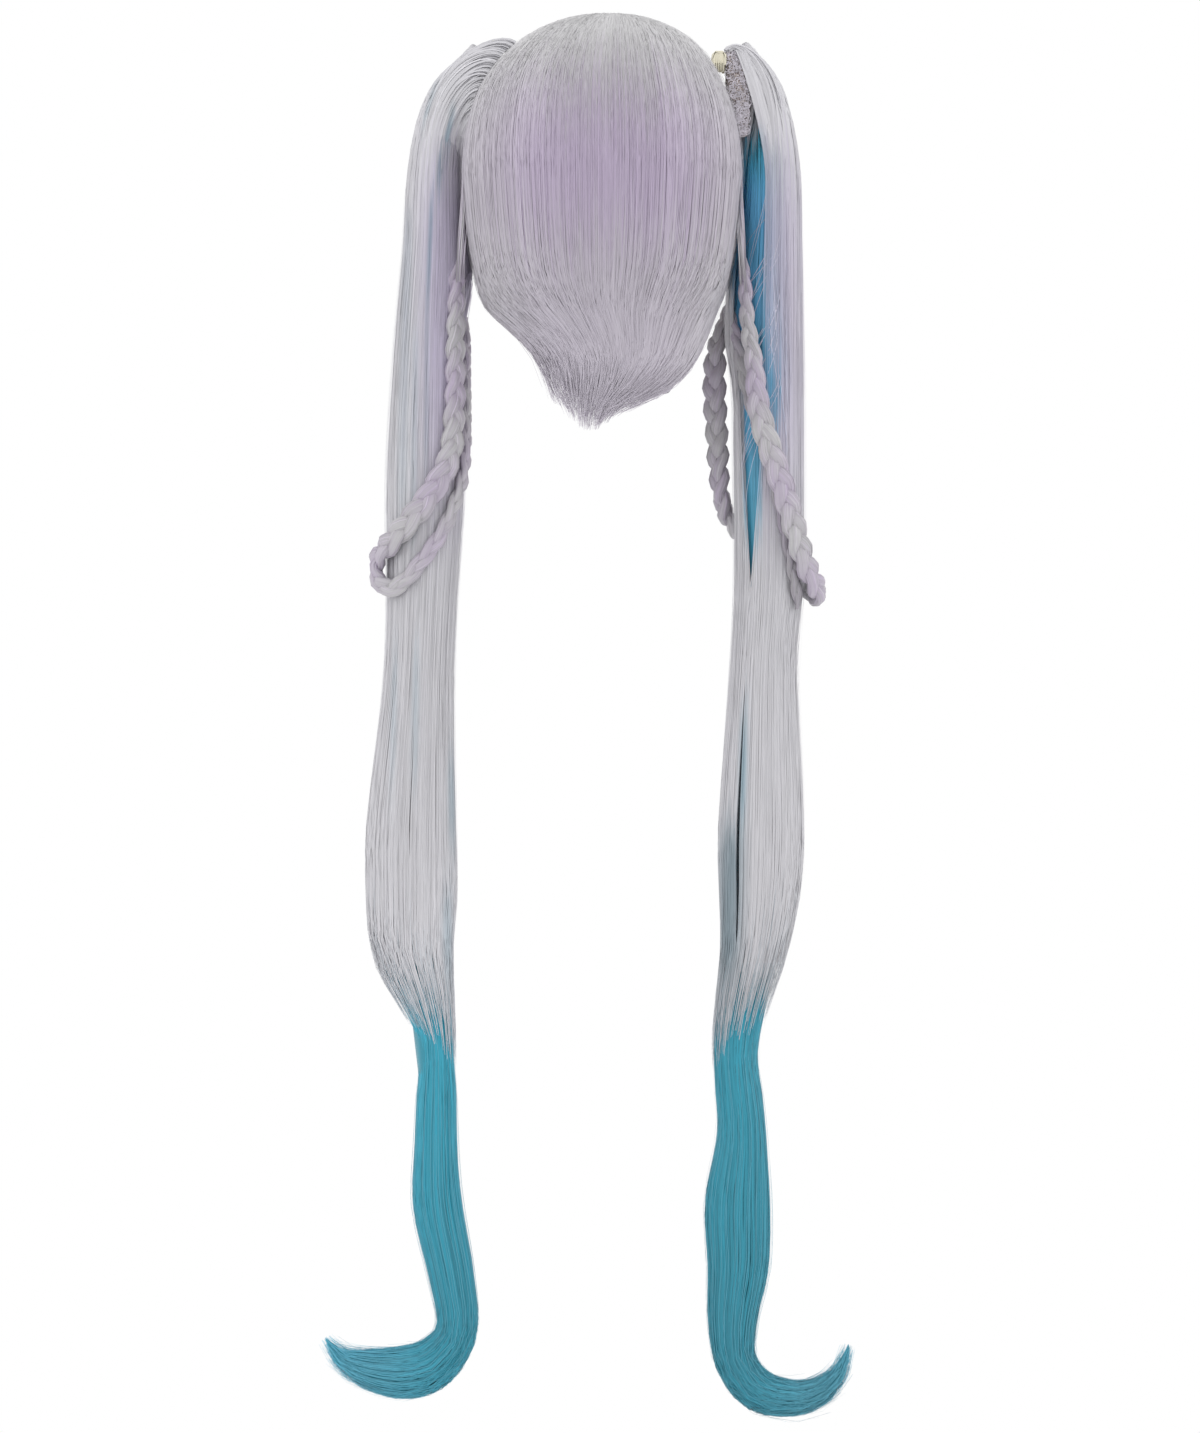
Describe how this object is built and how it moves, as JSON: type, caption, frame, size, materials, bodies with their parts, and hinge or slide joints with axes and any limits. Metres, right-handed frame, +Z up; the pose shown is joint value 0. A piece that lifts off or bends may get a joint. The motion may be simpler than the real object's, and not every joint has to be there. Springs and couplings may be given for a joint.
{
  "type": "pigtail wig",
  "caption": "Wig on an open net cap with head hair to the nape and long clip-on pigtails: a silver outer layer over a blue core that curls at the tip, wrapped by looped plaits.",
  "frame": {"origin": "the inner crown of the cap, on the head's vertical axis, where the wearer's crown touches it", "axes": "+Z is up along the head, +Y is forward towards the wearer's face, +X is the wearer's right"},
  "size_m": [0.3651, 0.229, 0.9681],
  "materials": {
    "net": "open knitted net cap",
    "head_hair": "silver and pale lilac synthetic fibre, combed straight",
    "silver_hair": "silver synthetic fibre with lilac and blue streaks",
    "blue_hair": "teal blue synthetic fibre, satin sheen",
    "plait_hair": "silver synthetic fibre in three-strand plaits",
    "clip": "moulded cream plastic",
    "weft": "stitched net with short fibre ends"
  },
  "bodies": {
    "root": {"net_cap": "net", "back_hair": "head_hair", "front_hair": "head_hair", "claw_clip_right": "clip", "weft_base_right": "weft", "pigtail_silver_right": "silver_hair", "pigtail_blue_right": "blue_hair", "plait_right": "plait_hair", "under_plait_right": "plait_hair", "claw_clip_left": "clip", "weft_base_left": "weft", "pigtail_silver_left": "silver_hair", "pigtail_blue_left": "blue_hair", "plait_left": "plait_hair"}
  },
  "joints": []
}
